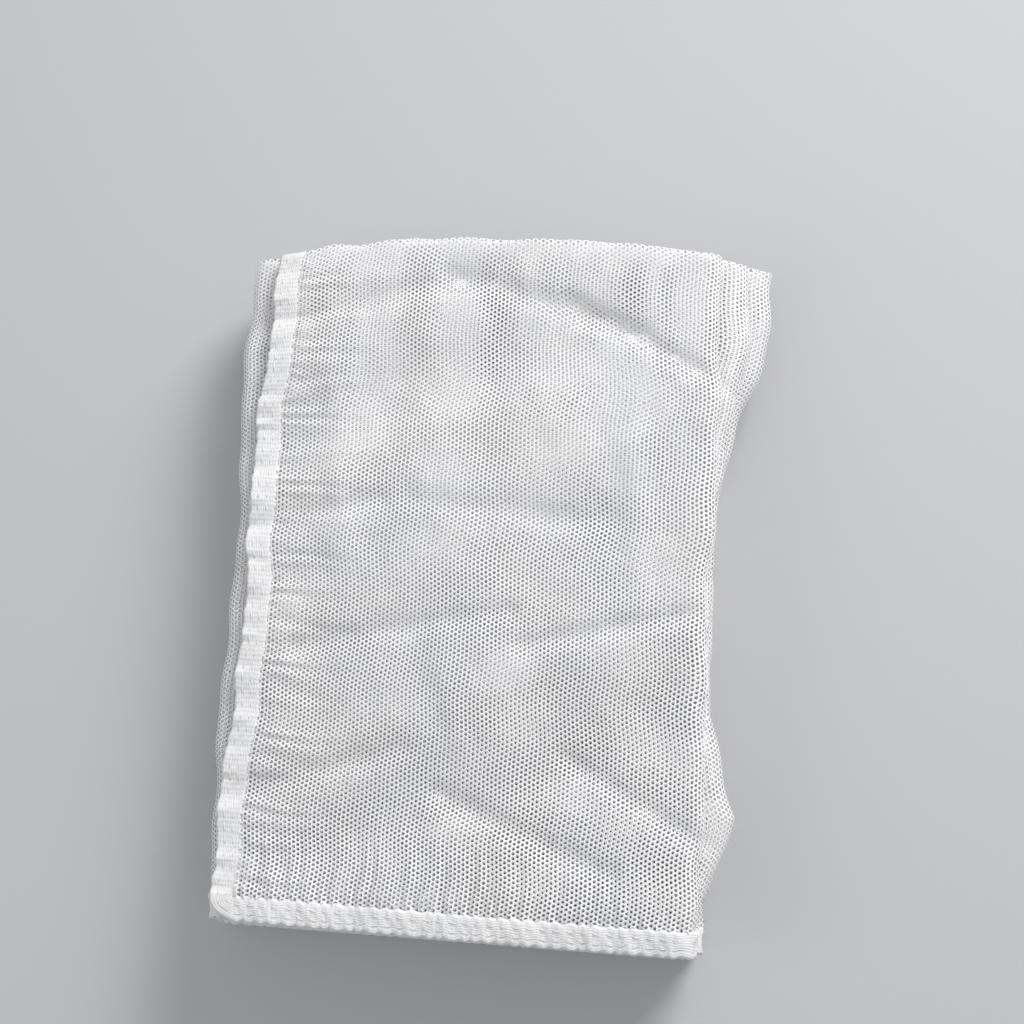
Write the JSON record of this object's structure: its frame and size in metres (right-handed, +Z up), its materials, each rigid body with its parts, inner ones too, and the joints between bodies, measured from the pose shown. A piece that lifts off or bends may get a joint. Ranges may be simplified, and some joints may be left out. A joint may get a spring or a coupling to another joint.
{
  "type": "stroller mosquito net",
  "caption": "White mosquito net of fine tulle with a gathered elastic border, folded in plies and then back and forth into a flat packet.",
  "frame": {"origin": "under the middle of the packet's box, on the surface that it lies on", "axes": "+Y along the packet's length, from the elastic edges to the ply folds; +Z up through the stacked passes, out of the packet's face"},
  "size_m": [0.1308, 0.1704, 0.0279],
  "materials": {
    "tulle": "matt white hexagonal tulle",
    "elastic": "ribbed white elastic, gathered"
  },
  "bodies": {
    "root": {"net": "tulle", "elastic_border": "elastic"}
  },
  "joints": []
}
